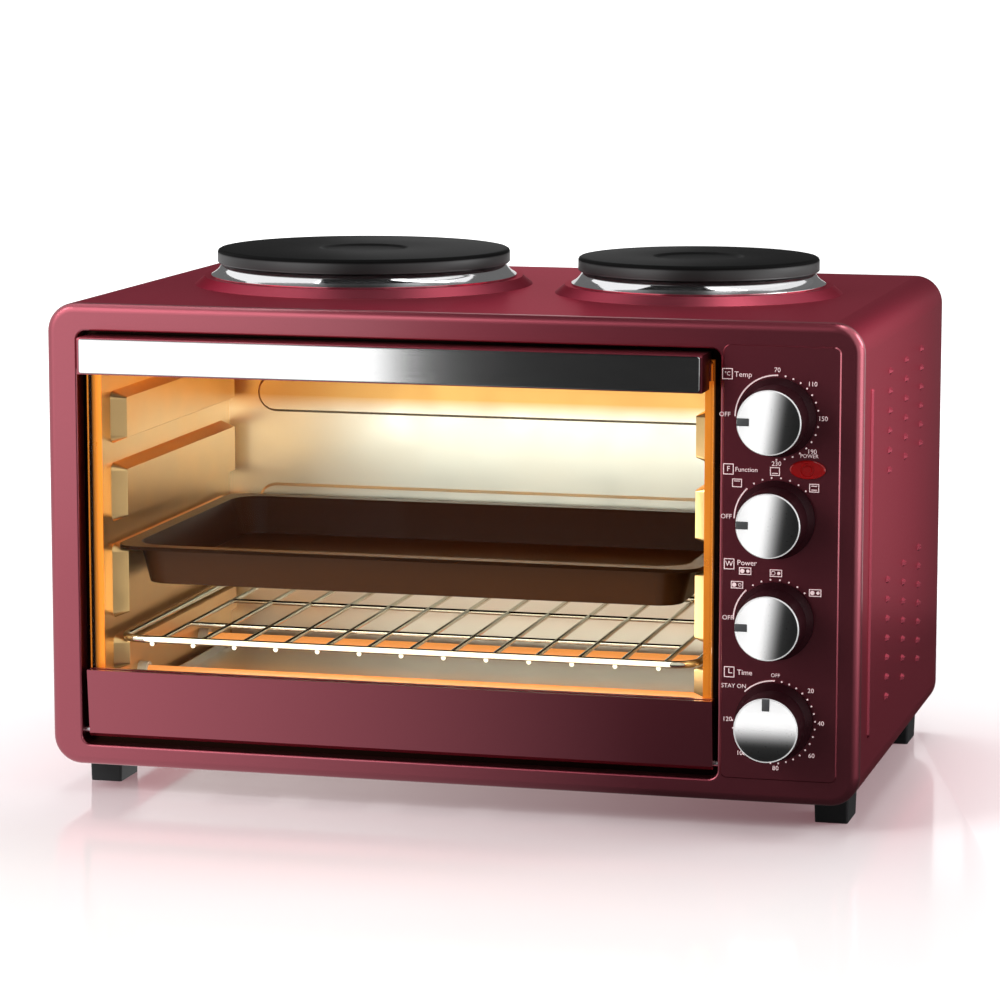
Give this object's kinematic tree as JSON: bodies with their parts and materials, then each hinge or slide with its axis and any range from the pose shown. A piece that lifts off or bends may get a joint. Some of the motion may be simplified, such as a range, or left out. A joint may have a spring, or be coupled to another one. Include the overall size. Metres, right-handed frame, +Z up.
{
  "type": "electric toaster oven with two hot plates",
  "caption": "Table-top electric oven with drop-down glass door, wire rack, baking tray, crumb tray, knob panel on the right and cast hot plates on top.",
  "frame": {"origin": "on the table under the middle of the overall outline, knobs and rear edge included", "axes": "+X to the right seen from the front, +Y from the door to the rear, +Z up"},
  "size_m": [0.4876, 0.329, 0.314],
  "materials": {
    "case_enamel": "dark red semi-gloss baked paint on sheet steel",
    "bezel_plastic": "dark red pearl lacquer on a moulded panel",
    "door_plastic": "dark red moulded rail, semi-gloss",
    "zinc_sheet": "plain zinc-coated sheet, dull",
    "cavity_steel": "pressed aluminised steel",
    "foot_plastic": "black matt plastic",
    "knob_plastic": "very dark red plastic with soft sheen",
    "knob_cap_metal": "bright metal disc with fine turned lines",
    "handle_metal": "bright steel strip, lengthwise brushed",
    "window_glass": "clear heat-proof pane with polished edges",
    "heater_steel": "heat-tinted steel tube sheath",
    "ceramic": "off-white fired ceramic",
    "rack_chrome": "plated wire",
    "tray_enamel": "black non-stick enamel",
    "crumb_aluminium": "plain rolled sheet",
    "plate_iron": "satin black coated casting",
    "ring_chrome": "polished flared ring",
    "steel_bright": "plain bright steel",
    "switch_plastic": "cream heat-proof moulding",
    "lamp_lens": "clear red lens",
    "copper_bulb": "copper-coloured sensing tube"
  },
  "bodies": {
    "oven": {"base_pan": "zinc_sheet", "cavity_back": "cavity_steel", "cavity_floor": "cavity_steel", "cavity_left": "cavity_steel", "cavity_right": "cavity_steel", "cavity_top": "cavity_steel", "cord_gland": "foot_plastic", "foot_front_left": "foot_plastic", "foot_front_right": "foot_plastic", "foot_rear_left": "foot_plastic", "foot_rear_right": "foot_plastic", "front_frame": "zinc_sheet", "front_panel": "bezel_plastic", "function_switch": "switch_plastic", "heat_shield": "zinc_sheet", "heater_collars": "ceramic", "indicator_lens": "lamp_lens", "large_plate": "plate_iron", "large_trim_ring": "ring_chrome", "lower_heaters": "heater_steel", "outer_casing": "case_enamel", "plate_straps": "steel_bright", "plate_switch": "switch_plastic", "rear_panel": "zinc_sheet", "small_plate": "plate_iron", "small_trim_ring": "ring_chrome", "terminal_block": "switch_plastic", "thermostat": "switch_plastic", "thermostat_bulb": "copper_bulb", "timer": "steel_bright", "upper_heaters": "heater_steel"},
    "door": {"door_strip": "door_plastic", "door_glass": "window_glass", "door_rail": "door_plastic", "handle_strip": "handle_metal", "hinge_pins": "steel_bright", "stay_arm_left": "steel_bright", "stay_arm_right": "steel_bright"},
    "wire_rack": {"wire_rack": "rack_chrome"},
    "baking_tray": {"baking_tray": "tray_enamel"},
    "crumb_tray": {"crumb_tray": "crumb_aluminium"},
    "timer_dial": {"timer_knob": "knob_plastic", "timer_cap": "knob_cap_metal", "timer_spindle": "steel_bright"},
    "plate_dial": {"plate_knob": "knob_plastic", "plate_cap": "knob_cap_metal", "plate_spindle": "steel_bright"},
    "function_dial": {"function_knob": "knob_plastic", "function_cap": "knob_cap_metal", "function_spindle": "steel_bright"},
    "temperature_dial": {"temperature_knob": "knob_plastic", "temperature_cap": "knob_cap_metal", "temperature_spindle": "steel_bright"}
  },
  "joints": [
    {"name": "door_hinge", "type": "hinge", "parent": "oven", "child": "door", "pos_m": [-0.031, -0.1303, 0.0373], "axis": [1, 0, 0], "range_deg": [0, 90], "stiffness_Nm_per_rad": 0.5, "springref_deg": -17.19},
    {"name": "timer_turn", "type": "hinge", "parent": "oven", "child": "timer_dial", "pos_m": [0.1935, -0.1375, 0.065], "axis": [0, 1, 0], "range_deg": [-45, 270]},
    {"name": "plate_turn", "type": "hinge", "parent": "oven", "child": "plate_dial", "pos_m": [0.1935, -0.1375, 0.1229], "axis": [0, 1, 0], "range_deg": [0, 135]},
    {"name": "function_turn", "type": "hinge", "parent": "oven", "child": "function_dial", "pos_m": [0.1935, -0.1375, 0.1808], "axis": [0, 1, 0], "range_deg": [0, 135]},
    {"name": "temperature_turn", "type": "hinge", "parent": "oven", "child": "temperature_dial", "pos_m": [0.1935, -0.1375, 0.2387], "axis": [0, 1, 0], "range_deg": [0, 270]},
    {"name": "wire_rack_slide", "type": "slide", "parent": "oven", "child": "wire_rack", "axis": [0, -1, 0], "range_m": [0, 0.071]},
    {"name": "baking_tray_slide", "type": "slide", "parent": "oven", "child": "baking_tray", "axis": [0, -1, 0], "range_m": [0, 0.118]},
    {"name": "crumb_tray_slide", "type": "slide", "parent": "oven", "child": "crumb_tray", "axis": [0, -1, 0], "range_m": [0, 0.019]}
  ],
  "couplings": [
    {"joint": "wire_rack_slide", "follows": "door_hinge", "m_per_rad": 0.045},
    {"joint": "baking_tray_slide", "follows": "door_hinge", "m_per_rad": 0.075},
    {"joint": "crumb_tray_slide", "follows": "door_hinge", "m_per_rad": 0.012}
  ]
}
